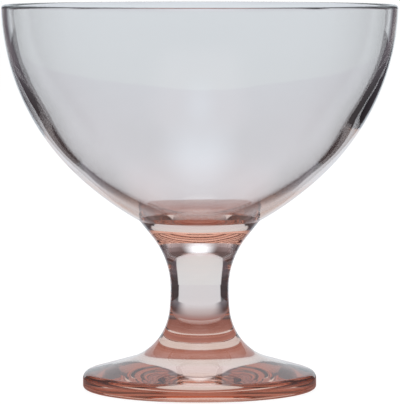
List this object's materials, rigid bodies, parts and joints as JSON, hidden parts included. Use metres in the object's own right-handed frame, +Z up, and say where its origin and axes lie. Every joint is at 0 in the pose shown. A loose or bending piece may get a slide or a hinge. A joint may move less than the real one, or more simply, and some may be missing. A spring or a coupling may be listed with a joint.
{
  "type": "footed dessert glass",
  "caption": "Wide round bowl of clear, faintly rose-tinted glass on a short waisted stem and a domed foot, for ice cream, parfait or fruit.",
  "frame": {"origin": "centre of the ring that the foot stands on, on the table", "axes": "+Z up along the axis of turning, from the foot to the rim; X and Y are alike"},
  "size_m": [0.104, 0.104, 0.101],
  "materials": {
    "glass": "smooth, fire-polished, with a faint rose tint that shows where the glass is thick"
  },
  "bodies": {
    "root": {"bowl": "glass", "stem": "glass", "foot": "glass"}
  },
  "joints": []
}
